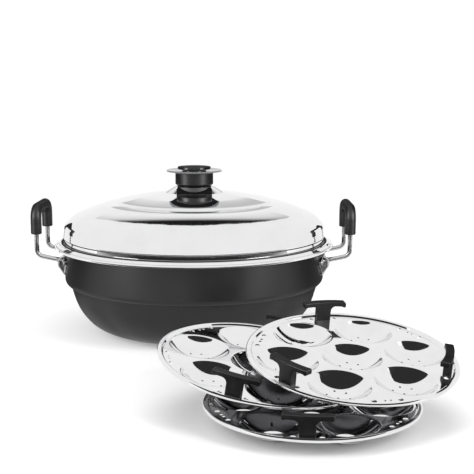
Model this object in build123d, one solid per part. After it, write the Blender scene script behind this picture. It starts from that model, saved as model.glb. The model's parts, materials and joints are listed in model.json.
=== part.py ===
from build123d import *

import os
from math import asin, cos, degrees, hypot, radians, sin, sqrt, tan

os.makedirs("parts", exist_ok=True)

# Idli steamer: a round-bottomed pot with a stepped upper band, a domed lid with a knob, two upright
# wire handles with sleeves, and three dished plates with T-shaped stands, piled in front of the pot.
# Millimetres, Z up. The origin is the middle of the pot's base, on the surface that everything stands on.

# Pot
band_radius = 130.6
pot_height = 90.3
base_inset = 60.6
step_width = 5.9
band_height = 42.8
pot_wall = 3.0
pot_floor = 4.0
lip_reach = 5.2
lip_depth = 3.6
lip_fillet = 2.5
lip_round = 1.2

# The bowl's outline from its base to the step: shares of the bowl's overhang and of its height
BOWL_SHARES = ((0.146, 0.007), (0.292, 0.027), (0.411, 0.058), (0.521, 0.107), (0.658, 0.210),
               (0.777, 0.361), (0.863, 0.515), (0.938, 0.722), (0.978, 0.876))
BOWL_TOP_LEAN_SHARE = 0.10

# Lid sheet: its radii follow the pot's band
lid_sheet = 1.0
flange_reach = 9.4
bead_radius = 1.5
flange_drop = 5.6
flange_top_reach = 1.6
flange_above_pot = 2.7
groove_inset = 0.5
groove_height = 1.5
groove_shoulder = 1.7
lid_wall_foot_reach = 1.3
lid_wall_lean = 1.5
lid_wall_height = 8.4
shoulder_width = 8.9
shoulder_rise = 8.3
slope_width = 18.5
slope_rise = 7.0
dome_width = 24.4
ring_foot_rise = 6.6
ring_width = 1.6
ring_height = 1.7
crown_width = 22.0
crown_rise = 4.2
boss_foot_radius = 29.5
boss_foot_rise = 3.6
boss_radius = 19.5
boss_height = 6.0
crease_bend = 0.8
ring_bend = 1.2
boss_bend = 2.5
shoulder_bend = 5.0
slope_bend = 14.0
crown_bend = 90.0

# Knob
knob_radius = 19.0
knob_height = 13.8
knob_foot_taper = 2.4
knob_foot_taper_height = 2.2
knob_round = 0.8
disc_radius = 27.7
disc_thickness = 1.5
disc_dish = 0.9
cap_radius = 16.6
cap_height = 3.2
cap_neck_radius = 12.0
cap_neck_height = 1.6
cap_crown = 0.7
cap_round = 0.7
knob_clearance = 0.2
knob_screw_radius = 1.75
knob_screw_reach = 9.0
knob_screw_head_radius = 5.2
knob_screw_head_height = 3.0
knob_washer_radius = 8.5
knob_washer_thickness = 1.0
cap_spigot_radius = 5.0
cap_spigot_length = 3.0

# Side handles
handle_reach_past_band = 24.4
handle_half_span = 28.0
handle_wire_radius = 2.5
handle_top_above_pot = 32.9
handle_foot_below_pot = 18.3
handle_foot_slope = 12.0
handle_lower_bend = 7.0
handle_upper_bend = 10.0
grip_radius = 5.3
grip_end_above_pot = 8.2
grip_end_round = 1.0
fit_gap = 0.3

# Handle brackets and rivets
bracket_sheet = 1.4
bracket_half_width = 15.5
bracket_top_above = 4.5
bracket_tip_below = 14.5
bracket_shoulder_half_width = 8.0
bracket_tip_half_width = 3.0
bracket_side_half_height = 2.5
bracket_corner = 2.0
pocket_half_width = 6.5
pocket_depth = 7.0
pocket_lower_depth = 5.4
pocket_tip_depth = 0.8
pocket_waist_below = 5.0
pocket_tip_below = 12.5
pocket_round = 2.2
rivet_spacing = 10.8
rivet_radius = 1.6
rivet_head_radius = 3.6
rivet_head_height = 1.6

# Idli plates
plate_radius = 81.0
plate_sheet = 0.9
plate_bead_radius = 1.45
plate_rim_height = 1.9
plate_rim_width = 4.8
plate_rim_ramp = 1.2
plate_rim_bend = 0.8
CUP_SHARE = 0.3
cup_depth = 11.0
cup_lip_radius = 2.0
cup_spacing = 2.4
CUPS_AROUND = 6
steam_hole_radius = 0.85
steam_ring_radius = 8.5
STEAM_HOLES_AROUND = 6
stand_inset = 9.2
flank_hole_spread = 9.9
flank_hole_radius = 2.0
stand_screw_spread = 2.1
STAND_PLACES = 6

# T-shaped stands
stand_height = 15.8
stand_thickness = 6.4
stand_half_length = 17.8
stem_half_width = 5.8
bar_height = 3.6
bar_end_height = 5.0
bar_hook_length = 3.0
stem_fillet = 4.0
stand_corner = 1.2
stand_round = 0.6
stand_screw_radius = 1.1
stand_screw_clearance = 0.1
stand_screw_reach = 6.0
stand_screw_head_radius = 1.9
stand_screw_head_height = 1.3

# Pile of plates: shifts in plan are shares of the plate's radius, turns and leans are in degrees
LOWER_PLACE_SHARES = (1.227, -3.519)
MIDDLE_PLACE_SHARES = (0.771, -3.125)
UPPER_PLACE_SHARES = (1.6205, -3.229)
LOWER_TURN, MIDDLE_TURN, UPPER_TURN = -96.5, -106.5, -135.75
MIDDLE_LEAN_FORWARD, MIDDLE_LEAN_RIGHT = 5.86, 8.68
UPPER_LEAN_FORWARD, UPPER_LEAN_RIGHT = 9.16, 3.25
middle_rise = 9.6
upper_rise = 7.6
STANDS = {"lower": (0, 2, 4), "middle": (0, 3), "upper": (0, 2, 4)}

# An overrun that every cut shares
overrun = 2.0

# Radii and heights that follow from the sizes above
base_radius = band_radius - base_inset
bowl_radius = band_radius - step_width
bowl_height = pot_height - band_height
lip_radius = band_radius + lip_reach
lid_flange_radius = band_radius + flange_reach
flange_top_radius = band_radius + flange_top_reach
flange_top_height = pot_height + flange_above_pot
groove_radius = band_radius - groove_inset
lid_wall_foot_radius = band_radius + lid_wall_foot_reach
lid_wall_top_radius = lid_wall_foot_radius - lid_wall_lean
shoulder_radius = lid_wall_top_radius - shoulder_width
slope_radius = shoulder_radius - slope_width
ring_foot_radius = slope_radius - dome_width
ring_radius = ring_foot_radius - ring_width
crown_radius = ring_radius - crown_width
handle_reach = band_radius + handle_reach_past_band
handle_rise = pot_height + handle_top_above_pot
handle_foot_height = pot_height - handle_foot_below_pot
grip_end_height = pot_height + grip_end_above_pot
plate_rim_foot_radius = plate_radius - plate_rim_width
cup_radius = plate_radius * CUP_SHARE
cup_circle_radius = 2 * cup_radius + cup_spacing
stand_circle_radius = plate_radius - stand_inset
cup_drop = cup_depth + plate_sheet
bead_circle_radius = lid_flange_radius - bead_radius
flange_foot_radius = bead_circle_radius - bead_radius / 3
flange_slope = flange_drop / (flange_foot_radius - flange_top_radius)
wall_foot_height = flange_top_height + groove_height + groove_shoulder * 2
shoulder_foot_height = wall_foot_height + lid_wall_height
shoulder_height = shoulder_foot_height + shoulder_rise
slope_height = shoulder_height + slope_rise
ring_foot_height = slope_height + ring_foot_rise
ring_top_height = ring_foot_height + ring_height
crown_height = ring_top_height + crown_rise
boss_foot_height = crown_height + boss_foot_rise
boss_top_height = boss_foot_height + boss_height
knob_base_height = boss_top_height
disc_base_height = knob_base_height + knob_height
cap_base_height = disc_base_height + disc_thickness
knob_seat_radius = knob_radius - knob_foot_taper


def mitred(points, distance):
    """Points of a line moved sideways, to the right of its direction, by a distance."""
    moved = []
    for index, (x, y) in enumerate(points):
        before = points[max(index - 1, 0)]
        after = points[min(index + 1, len(points) - 1)]
        if index in (0, len(points) - 1):
            before, after = (before, after) if index else ((x, y), after)
            length = hypot(after[0] - before[0], after[1] - before[1])
            moved.append((x + distance * (after[1] - before[1]) / length,
                          y - distance * (after[0] - before[0]) / length))
            continue
        length_in = hypot(x - before[0], y - before[1])
        length_out = hypot(after[0] - x, after[1] - y)
        normal_in = ((y - before[1]) / length_in, (before[0] - x) / length_in)
        normal_out = ((after[1] - y) / length_out, (x - after[0]) / length_out)
        total = (normal_in[0] + normal_out[0], normal_in[1] + normal_out[1])
        scale = 1 + normal_in[0] * normal_out[0] + normal_in[1] * normal_out[1]
        moved.append((x + distance * total[0] / scale, y + distance * total[1] / scale))
    return moved


def rounded(face, corners):
    """A flat face with each named corner rounded by its own radius."""
    for (x, y), radius in corners:
        corner = face.vertices().sort_by_distance((x, y, 0))[0]
        face = fillet(corner, radius)
    return face


def bent_sheet(points, bends, thickness):
    """Section of a bent sheet whose outer side follows the points; each bend radius is the inner one."""
    under = mitred(points, thickness)
    face = make_face(Polyline(*points, *reversed(under), close=True))
    corners = []
    for index, bend in bends.items():
        (x0, y0), (x1, y1), (x2, y2) = points[index - 1:index + 2]
        turns_right = (x1 - x0) * (y2 - y1) - (y1 - y0) * (x2 - x1) < 0
        corners.append((points[index], bend + thickness if turns_right else bend))
        corners.append((under[index], bend if turns_right else bend + thickness))
    return rounded(face, corners)


def upright(section):
    """A section drawn as radius and height, stood up in the XZ plane."""
    return Plane.XZ * section


def turned(section):
    """The solid that a section, drawn as radius and height, makes about the Z axis."""
    return revolve(upright(section), Axis.Z)


def rod(radius, height, at=(0, 0, 0)):
    """A vertical cylinder that stands on a point."""
    return Pos(*at) * extrude(Circle(radius), height)


def bent_path(points, bends):
    """A path of straight runs joined by arcs, with one bend radius for each inner point."""
    points = [Vector(*point) for point in points]
    edges = []
    start = points[0]
    for corner, after, bend in zip(points[1:-1], points[2:], bends):
        before = (corner - start).normalized()
        onward = (after - corner).normalized()
        half_turn = before.get_angle(onward) / 2
        setback = bend * tan(radians(half_turn))
        middle = corner + (onward - before).normalized() * bend * (1 / cos(radians(half_turn)) - 1)
        edges.append(Line(start, corner - before * setback))
        edges.append(ThreePointArc(corner - before * setback, middle, corner + onward * setback))
        start = corner + onward * setback
    edges.append(Line(start, points[-1]))
    return Wire([edge for line in edges for edge in line.edges()])


def swept(section, path):
    """A section carried along a path from its first point."""
    return sweep(Plane(origin=path @ 0, z_dir=path % 0) * section, path=path)


# Pot body

def bowl_points(foot_radius, top_radius, foot_height, top_height):
    """Points of the bowl's outline between two radii and two heights."""
    reach, rise = top_radius - foot_radius, top_height - foot_height
    return [(foot_radius + x * reach, foot_height + y * rise) for x, y in BOWL_SHARES]


def pot_outline(foot_radius, bowl_edge, band_edge, floor_height, step_height, top_height):
    """Region between the axis and one skin of the pot, from its floor up to a height."""
    start, end = (foot_radius, floor_height), (bowl_edge, step_height)
    bowl = Spline((start, *bowl_points(foot_radius, bowl_edge, floor_height, step_height), end),
                  tangents=((1, 0), (BOWL_TOP_LEAN_SHARE, 1)))
    round_width = band_edge - bowl_edge
    middle = (bowl_edge + round_width * sin(radians(45)), step_height + round_width * (1 - cos(radians(45))))
    step = ThreePointArc(end, middle, (band_edge, step_height + round_width))
    closing = Polyline((band_edge, step_height + round_width), (band_edge, top_height), (0, top_height),
                       (0, floor_height), start)
    return make_face(bowl + step + closing)


def pot_lip():
    """Ring section of the pot's lip, whose top slopes as the lid's flange does."""
    under_top = flange_top_height - lid_sheet * hypot(1, flange_slope) - fit_gap * hypot(1, flange_slope)
    seat_radius = flange_top_radius + (under_top - pot_height) / flange_slope
    edge_height = pot_height - (lip_radius - seat_radius) * flange_slope
    under = pot_height - lip_depth
    points = ((band_radius - pot_wall, under - lip_fillet), (band_radius, under - lip_fillet),
              (band_radius, under), (lip_radius, under), (lip_radius, edge_height), (seat_radius, pot_height),
              (band_radius - pot_wall, pot_height))
    face = make_face(Polyline(*points, close=True))
    return rounded(face, (((band_radius, under), lip_fillet), ((lip_radius, under), lip_round / 3),
                          ((lip_radius, edge_height), lip_round / 3), ((seat_radius, pot_height), lip_round),
                          ((band_radius - pot_wall, pot_height), lip_round)))


def radial_hole(azimuth, height, radius):
    """A hole through the pot's wall along a radius at an azimuth."""
    length = 2 * (pot_wall + bracket_sheet + overrun)
    along = Rot(Z=azimuth) * Pos(band_radius - pot_wall - overrun, 0, height) * Rot(Y=90)
    return along * extrude(Circle(radius), length)


def bracket_azimuths():
    """Azimuth of each bracket, named by side and end."""
    swing = degrees(asin(handle_half_span / band_radius))
    return {"right_front": -swing, "right_rear": swing, "left_front": 180 + swing, "left_rear": 180 - swing}


def rivet_azimuths(azimuth):
    """The two azimuths of a bracket's rivets."""
    swing = degrees(asin(rivet_spacing / band_radius))
    return azimuth - swing, azimuth + swing


def pot_body():
    """The pot: a bowl, a stepped band above it and a sloped lip, open at the top."""
    band_top = pot_height - lip_depth - lip_fillet
    outside = pot_outline(base_radius, bowl_radius, band_radius, 0, bowl_height, band_top)
    inside = pot_outline(base_radius - pot_wall, bowl_radius - pot_wall, band_radius - pot_wall, pot_floor,
                         bowl_height, pot_height + overrun)
    pot = turned(outside) + turned(pot_lip()) - turned(inside)
    for azimuth in bracket_azimuths().values():
        for rivet_azimuth in rivet_azimuths(azimuth):
            pot -= radial_hole(rivet_azimuth, handle_foot_height, rivet_radius + fit_gap)
    return pot


# Lid and knob

def lid_shell():
    """The lid: a flange with a rolled edge, a groove, a steep wall, a domed top and a boss for the knob."""
    groove_top = flange_top_height + groove_height + groove_shoulder
    points = [(knob_screw_radius + knob_clearance, boss_top_height), (boss_radius, boss_top_height),
              (boss_foot_radius, boss_foot_height), (crown_radius, crown_height),
              (ring_radius, ring_top_height), (ring_foot_radius, ring_foot_height),
              (slope_radius, slope_height), (shoulder_radius, shoulder_height),
              (lid_wall_top_radius, shoulder_foot_height), (lid_wall_foot_radius, wall_foot_height),
              (groove_radius, groove_top), (groove_radius, flange_top_height + groove_shoulder),
              (flange_top_radius, flange_top_height),
              (flange_foot_radius, flange_top_height - flange_drop)]
    bends = {1: crease_bend, 2: boss_bend, 3: crown_bend, 4: ring_bend, 5: ring_bend, 6: crown_bend,
             7: slope_bend, 8: shoulder_bend, 9: crease_bend, 10: crease_bend / 2, 11: crease_bend / 2,
             12: crease_bend}
    section = bent_sheet(points, bends, lid_sheet)
    bead = Pos(bead_circle_radius, flange_top_height - flange_drop - bead_radius) * Circle(bead_radius)
    return turned(section + bead)


def knob_body():
    """The knob's grip: a cylinder that narrows at its foot, hollow for the screw and the cap's spigot."""
    base, top = knob_base_height, disc_base_height
    points = ((0, base), (knob_seat_radius, base), (knob_radius, base + knob_foot_taper_height),
              (knob_radius, top), (0, top))
    face = make_face(Polyline(*points, close=True))
    face = rounded(face, (((knob_radius, base + knob_foot_taper_height), knob_round),
                          ((knob_radius, top), knob_round)))
    knob = turned(face)
    knob -= rod(knob_screw_radius + knob_clearance, knob_screw_reach + knob_clearance, (0, 0, base))
    spigot_depth = cap_spigot_length - disc_thickness + knob_clearance
    return knob - rod(cap_spigot_radius + knob_clearance, spigot_depth + overrun, (0, 0, top - spigot_depth))


def knob_disc():
    """The dished steel disc between the grip and the cap, with a hole for the cap's spigot."""
    foot = disc_base_height
    points = [(cap_spigot_radius + knob_clearance, foot + disc_thickness),
              (knob_radius, foot + disc_thickness), (disc_radius, foot + disc_thickness + disc_dish)]
    return turned(bent_sheet(points, {1: disc_radius}, disc_thickness))


def knob_cap():
    """The cap on top: a crowned button on a neck, with a spigot through the disc."""
    foot = cap_base_height
    button = foot + cap_neck_height
    top = button + cap_height
    side_top = top - cap_crown
    face = make_face(Polyline((0, foot - cap_spigot_length), (cap_spigot_radius, foot - cap_spigot_length),
                              (cap_spigot_radius, foot), (cap_neck_radius, foot), (cap_neck_radius, button),
                              (cap_radius, button), (cap_radius, side_top))
                     + TangentArc((0, top), (cap_radius, side_top), tangent=(1, 0))
                     + Line((0, top), (0, foot - cap_spigot_length)))
    return turned(rounded(face, (((cap_radius, side_top), cap_round), ((cap_radius, button), cap_round / 2))))


def knob_washer():
    """The flat washer under the lid's boss."""
    top = boss_top_height - lid_sheet
    ring = Circle(knob_washer_radius) - Circle(knob_screw_radius + knob_clearance)
    return Pos(0, 0, top - knob_washer_thickness) * extrude(ring, knob_washer_thickness)


def knob_screw():
    """The screw that holds the knob, from below: a domed head with a slot, and its shank."""
    seat = boss_top_height - lid_sheet - knob_washer_thickness
    tip = knob_base_height + knob_screw_reach
    head = rod(knob_screw_head_radius, knob_screw_head_height, (0, 0, seat - knob_screw_head_height))
    head = fillet(head.edges().sort_by(Axis.Z)[0], knob_screw_head_height / 2)
    slot = Box(2 * knob_screw_head_radius + overrun, knob_screw_radius / 2, knob_screw_head_height)
    head -= Pos(0, 0, seat - knob_screw_head_height) * slot
    return head + rod(knob_screw_radius, tip - seat, (0, 0, seat))


# Side handles

def wire_points(side, start_height=None):
    """Corners of a handle's bent wire, or of its upper part from a height."""
    x, y = side * handle_reach, handle_half_span
    if start_height is not None:
        return [(x, -y, start_height), (x, -y, handle_rise), (x, y, handle_rise), (x, y, start_height)]
    foot_x = wire_foot_reach()
    bend_height = handle_foot_height + (handle_reach - foot_x) * tan(radians(handle_foot_slope))
    foot = [(side * foot_x, -y, handle_foot_height), (x, -y, bend_height)]
    upper = [(x, -y, handle_rise), (x, y, handle_rise)]
    return foot + upper + [(x, y, bend_height), (side * foot_x, y, handle_foot_height)]


def wire_foot_reach():
    """Distance of the wire's end from the YZ plane, just clear of the bracket's sheet."""
    sheet_radius = band_radius + fit_gap + bracket_sheet
    return sqrt(sheet_radius ** 2 - (handle_half_span - handle_wire_radius) ** 2) + fit_gap


def handle_wire(side):
    """A steel wire from one bracket, up, across and down to the other bracket."""
    bends = [handle_lower_bend, handle_upper_bend, handle_upper_bend, handle_lower_bend]
    return swept(Circle(handle_wire_radius), bent_path(wire_points(side), bends))


def handle_grip(side):
    """The sleeve over the wire's two upper legs and its bridge."""
    path = bent_path(wire_points(side, grip_end_height), [handle_upper_bend, handle_upper_bend])
    outside = swept(Circle(grip_radius), path)
    rims = outside.edges().filter_by(GeomType.CIRCLE).group_by(Axis.Z)[0]
    return fillet(rims, grip_end_round) - swept(Circle(handle_wire_radius + fit_gap), path)


def handle_bracket(azimuth):
    """A stamped bracket on the pot's wall: a leaf of sheet with a raised pocket that holds the wire."""
    height = handle_foot_height
    inner = band_radius + fit_gap
    outer = inner + bracket_sheet
    top, tip = height + bracket_top_above, height - bracket_tip_below
    side_top, side_low = height + bracket_side_half_height, height - bracket_side_half_height
    half = ((bracket_shoulder_half_width, top), (bracket_half_width, side_top),
            (bracket_half_width, side_low), (bracket_tip_half_width, tip))
    outline = [*half, *((-y, z) for y, z in reversed(half))]
    leaf = rounded(make_face(Polyline(*outline, close=True)), [(point, bracket_corner) for point in outline])
    leaf = Plane.YZ * leaf
    leaf = extrude(Pos(inner - overrun, 0, 0) * leaf, bracket_sheet + 2 * overrun)
    shell = Pos(0, 0, tip - overrun) * extrude(Circle(outer) - Circle(inner), top - tip + 2 * overrun)
    waist, low = height - pocket_waist_below, height - pocket_tip_below
    profile = Polyline((inner, top), (inner + pocket_depth, top - bracket_corner), (inner + pocket_depth, waist),
                       (inner + pocket_tip_depth + bracket_sheet, low), (inner, low), close=True)
    pocket = extrude(Plane.XZ * make_face(profile), pocket_half_width, both=True)
    long_edges = pocket.edges().filter_by(lambda edge: abs(edge.tangent_at(0).Y) < 0.5)
    long_edges = long_edges.filter_by(lambda edge: edge.center().X > inner + bracket_sheet + pocket_tip_depth)
    pocket = fillet(long_edges, pocket_round)
    hollow = Pos(0, 0, tip - overrun) * extrude(Circle(inner), top - tip + 2 * overrun)
    bracket = (leaf & shell) + (pocket - hollow)
    for swing in (-1, 1):
        rivet_swing = swing * degrees(asin(rivet_spacing / band_radius))
        bracket -= radial_hole(rivet_swing, height, rivet_radius + fit_gap)
    bracket = Rot(Z=azimuth) * bracket
    side = 1 if cos(radians(azimuth)) > 0 else -1
    end = 1 if sin(radians(azimuth)) > 0 else -1
    x, y = side * (wire_foot_reach() - fit_gap), end * handle_half_span
    run = 2 * pocket_depth
    bore = bent_path([(x, y, height), (x + side * run, y, height + run * tan(radians(handle_foot_slope)))], [])
    return bracket - swept(Circle(handle_wire_radius + fit_gap), bore)


def handle_rivets():
    """All rivets: a shank through wall and bracket, and a domed head at each end."""
    wall_inside, sheet_outside = band_radius - pot_wall, band_radius + fit_gap + bracket_sheet
    inner_face, outer_face = wall_inside - fit_gap, sheet_outside + fit_gap
    inner_tip, outer_tip = inner_face - rivet_head_height, outer_face + rivet_head_height
    half = make_face(TangentArc((0, inner_tip), (rivet_head_radius, inner_face), tangent=(1, 0))
                     + Polyline((rivet_head_radius, inner_face), (rivet_radius, inner_face),
                                (rivet_radius, outer_face), (rivet_head_radius, outer_face))
                     + TangentArc((0, outer_tip), (rivet_head_radius, outer_face), tangent=(1, 0))
                     + Line((0, inner_tip), (0, outer_tip)))
    rivet = Rot(Y=90) * turned(half)
    rivets = []
    for azimuth in bracket_azimuths().values():
        for rivet_azimuth in rivet_azimuths(azimuth):
            rivets.append(Rot(Z=rivet_azimuth) * Pos(0, 0, handle_foot_height) * rivet)
    return Compound(children=[rivet.solid() for rivet in rivets])


# Idli plates, drawn level about their own centre with the sheet's upper side at height zero

def around(count, radius, first=0.0):
    """Places on a circle, each with its angle in degrees."""
    for index in range(count):
        angle = first + index * 360 / count
        yield radius * cos(radians(angle)), radius * sin(radians(angle)), angle


def cup_section():
    """Section of one cup's sheet: a rounded lip that runs into a spherical bowl."""
    reach = (cup_radius ** 2 / cup_depth + cup_depth) / 2
    sphere = reach - cup_lip_radius
    centre = sphere - cup_depth
    lip_angle = degrees(asin(cup_radius / reach))

    def bowl_point(radius, angle):
        return radius * sin(radians(angle)), centre - radius * cos(radians(angle))

    def lip_point(radius, angle):
        return cup_radius - radius * sin(radians(angle)), -cup_lip_radius + radius * cos(radians(angle))

    def skin(inset):
        bowl_radius_here, lip_radius_here = sphere + inset, cup_lip_radius - inset
        arc = ThreePointArc(bowl_point(bowl_radius_here, 0), bowl_point(bowl_radius_here, lip_angle / 2),
                            bowl_point(bowl_radius_here, lip_angle))
        lip = ThreePointArc(lip_point(lip_radius_here, lip_angle), lip_point(lip_radius_here, lip_angle / 2),
                            lip_point(lip_radius_here, 0))
        return arc + lip

    axis_side = Line((0, -cup_depth), (0, -cup_drop))
    sheet_side = Line((cup_radius, 0), (cup_radius, -plate_sheet))
    return make_face(skin(0) + skin(plate_sheet) + axis_side + sheet_side)


def plate():
    """A plate with a raised, rolled rim, seven cups, steam holes and rows of holes for its stands."""
    rim_rise = plate_rim_foot_radius + plate_rim_ramp
    bead_circle = plate_radius - plate_bead_radius
    points = [(0, 0), (plate_rim_foot_radius, 0), (rim_rise, plate_rim_height), (bead_circle, plate_rim_height)]
    section = bent_sheet(points, {1: plate_rim_bend, 2: plate_rim_bend}, plate_sheet)
    section += Pos(bead_circle, plate_rim_height - plate_bead_radius) * Circle(plate_bead_radius)
    sheet = turned(section)
    cup = turned(cup_section())
    places = [(0, 0), *((x, y) for x, y, _ in around(CUPS_AROUND, cup_circle_radius, 180 / CUPS_AROUND))]
    cut_depth = plate_sheet + 2 * overrun
    sheet -= [rod(cup_radius, cut_depth, (x, y, -cut_depth / 2)) for x, y in places]
    sheet += [Pos(x, y, 0) * cup for x, y in places]
    steam_depth = cup_drop + overrun
    holes = []
    for x, y in places:
        for dx, dy, _ in [(0, 0, 0), *around(STEAM_HOLES_AROUND, steam_ring_radius)]:
            holes.append(rod(steam_hole_radius, steam_depth, (x + dx, y + dy, -steam_depth)))
    for _, _, angle in around(STAND_PLACES, stand_circle_radius):
        for spread, radius in ((flank_hole_spread, flank_hole_radius),
                               (stand_screw_spread, stand_screw_radius + stand_screw_clearance)):
            for sign in (-1, 1):
                hole = rod(radius, cut_depth, (stand_circle_radius, sign * spread, -cut_depth / 2))
                holes.append(Rot(Z=angle) * hole)
    return sheet - holes


def stand_outline():
    """Front view of a stand: a stem with a bar over it, arched below and hooked at its ends."""
    bar_low = stand_height - bar_height
    end_low = stand_height - bar_end_height
    hook = stand_half_length - bar_hook_length
    half = ((stem_half_width, 0), (stem_half_width, bar_low), (hook, bar_low), (stand_half_length, end_low),
            (stand_half_length, stand_height))
    outline = [*half, *((-y, z) for y, z in reversed(half))]
    face = make_face(Polyline(*outline, close=True))
    corners = []
    for sign in (-1, 1):
        corners.append(((sign * stem_half_width, bar_low), stem_fillet))
        corners.append(((sign * hook, bar_low), bar_hook_length))
        corners.append(((sign * stand_half_length, end_low), stand_corner))
        corners.append(((sign * stand_half_length, stand_height), stand_corner))
    return rounded(face, corners)


def stand():
    """A T-shaped stand, curved along the rim, with two blind holes for its screws."""
    inner = stand_circle_radius - stand_thickness / 2
    outer = stand_circle_radius + stand_thickness / 2
    block = extrude(Plane.YZ * stand_outline(), outer + overrun)
    ring = extrude(Circle(outer) - Circle(inner), stand_height)
    body = block & ring
    rims = []
    for edge in body.edges():
        reaches = [hypot((edge @ share).X, (edge @ share).Y) for share in (0, 0.5, 1)]
        on_side = max(reaches) - min(reaches) < fit_gap / 10
        if on_side and edge.center().Z > stand_round:
            rims.append(edge)
    body = fillet(rims, stand_round)
    for sign in (-1, 1):
        body -= rod(stand_screw_radius + stand_screw_clearance, stand_screw_reach + stand_screw_clearance,
                    (stand_circle_radius, sign * stand_screw_spread, 0))
    return body


def stand_screw():
    """A small screw from under the plate into a stand."""
    head = rod(stand_screw_head_radius, stand_screw_head_height, (0, 0, -plate_sheet - stand_screw_head_height))
    head = fillet(head.edges().sort_by(Axis.Z)[0], stand_screw_head_height / 2)
    return head + rod(stand_screw_radius, stand_screw_reach + plate_sheet, (0, 0, -plate_sheet))


def stand_screws(angles):
    """The two screws of each stand, at the stands' angles."""
    screws = []
    for angle in angles:
        for sign in (-1, 1):
            place = Rot(Z=angle) * Pos(stand_circle_radius, sign * stand_screw_spread, 0)
            screws.append(place * stand_screw())
    return screws


def pile_places():
    """Where each plate lies: its centre, its lean to the front and to the right, and its turn."""
    lower_height = cup_drop
    middle_height = lower_height + cup_drop + middle_rise
    upper_height = middle_height + upper_rise

    def place(shares, height, forward, right, turn):
        x, y = (share * plate_radius for share in shares)
        return Pos(x, y, height) * Rot(Y=right) * Rot(X=forward) * Rot(Z=turn)

    return {"lower": place(LOWER_PLACE_SHARES, lower_height, 0, 0, LOWER_TURN),
            "middle": place(MIDDLE_PLACE_SHARES, middle_height, MIDDLE_LEAN_FORWARD, MIDDLE_LEAN_RIGHT,
                            MIDDLE_TURN),
            "upper": place(UPPER_PLACE_SHARES, upper_height, UPPER_LEAN_FORWARD, UPPER_LEAN_RIGHT, UPPER_TURN)}


def build():
    """Every node of the object, by name."""
    nodes = {"pot_body": pot_body(), "handle_rivets": handle_rivets()}
    for name, azimuth in bracket_azimuths().items():
        nodes["bracket_" + name] = handle_bracket(azimuth)
    for name, side in (("left", -1), ("right", 1)):
        nodes["handle_wire_" + name] = handle_wire(side)
        nodes["handle_grip_" + name] = handle_grip(side)
    nodes.update(lid_shell=lid_shell(), knob_body=knob_body(), knob_disc=knob_disc(), knob_cap=knob_cap(),
                 knob_washer=knob_washer(), knob_screw=knob_screw())
    for level, place in pile_places().items():
        angles = [index * 360 / STAND_PLACES for index in STANDS[level]]
        nodes["plate_" + level] = place * plate()
        for number, angle in enumerate(angles, start=1):
            nodes[f"stand_{level}_{number}"] = place * Rot(Z=angle) * stand()
        screws = [place * screw for screw in stand_screws(angles)]
        nodes["stand_screws_" + level] = Compound(children=[screw.solid() for screw in screws])
    return nodes


for node_name, shape in build().items():
    export_step(shape, f"parts/{node_name}.step")
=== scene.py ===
"""Looks of an idli steamer: a dark pot, a polished lid with a knob, and a pile of pressed seven-cup plates.

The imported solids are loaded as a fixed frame. The lid's sheet and the three plates are modelled again as fine
smooth meshes, because a mirror finish shows every facet, and all other solids keep their shape and get a finish.
Lengths in classes and constants are in millimetres, and mm() turns them into the scene's metres.
"""

from __future__ import annotations

import json
import logging
import math
from dataclasses import dataclass, field
from enum import Enum
from typing import Any

import bmesh
import bpy
from mathutils import Matrix, Vector

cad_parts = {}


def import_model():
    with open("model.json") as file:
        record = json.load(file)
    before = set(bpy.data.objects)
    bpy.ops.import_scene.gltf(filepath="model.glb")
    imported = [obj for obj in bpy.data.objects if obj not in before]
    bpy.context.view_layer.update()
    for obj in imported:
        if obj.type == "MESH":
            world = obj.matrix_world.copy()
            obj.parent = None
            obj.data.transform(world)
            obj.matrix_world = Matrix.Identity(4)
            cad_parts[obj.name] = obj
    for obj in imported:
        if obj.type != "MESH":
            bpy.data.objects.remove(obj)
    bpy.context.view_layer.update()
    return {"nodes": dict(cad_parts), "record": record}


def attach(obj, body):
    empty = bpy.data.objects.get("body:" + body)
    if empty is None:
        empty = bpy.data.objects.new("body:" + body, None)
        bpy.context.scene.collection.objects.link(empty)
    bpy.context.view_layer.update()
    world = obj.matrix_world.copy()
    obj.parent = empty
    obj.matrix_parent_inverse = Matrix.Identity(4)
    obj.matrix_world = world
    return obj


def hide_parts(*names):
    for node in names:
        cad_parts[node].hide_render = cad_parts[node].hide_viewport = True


LOG = logging.getLogger("idli_steamer")
FULL_TURN = 2 * math.pi
SHARP_ANGLE = math.radians(40)
WHITE = "#FFFFFF"

# Distances within which points are merged: at a spun shape's seam, and where the parts of a plate meet
SEAM_DISTANCE = 0.001
JOIN_DISTANCE = 0.005

# Parts of a noise's range over which a blotch of worn colour fades in, and over which the gloss turns dull
BLOTCH_FADE = (0.4, 0.75)
SHEEN_FADE = (0.3, 0.7)
# Share of its own colour that a finish with no worn colour drifts towards
WORN_TONE = 0.9
# Sockets of a Mix node for colours, which share their names with those for other values
MIX_FACTOR, MIX_FIRST, MIX_SECOND, MIX_RESULT = 0, 6, 7, 2

Pair = tuple[float, float]
Point = tuple[float, float, float]
Density = tuple[Pair, ...]


class Slot(Enum):
    """Material slots of the record."""

    POT = "pot_aluminium"
    RIVET = "rivet_aluminium"
    BRACKET = "bracket_steel"
    WIRE = "wire_steel"
    GRIP = "grip_plastic"
    LID = "lid_steel"
    KNOB = "knob_plastic"
    DISC = "disc_steel"
    CAP = "cap_plastic"
    SCREW = "screw_steel"
    PLATE = "plate_steel"
    STAND = "stand_plastic"


class Level(Enum):
    """Places in the pile of plates, from the floor up."""

    LOWER = "lower"
    MIDDLE = "middle"
    UPPER = "upper"


def mm(value: float) -> float:
    """Turns millimetres into metres.

    Args:
        value: Length in millimetres.

    Returns:
        The length in metres.
    """
    return value / 1000


def mm_point(point: Point) -> Vector:
    """Turns a point in millimetres into metres.

    Args:
        point: The point in millimetres.

    Returns:
        The point in metres.
    """
    return Vector([mm(value) for value in point])


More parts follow.
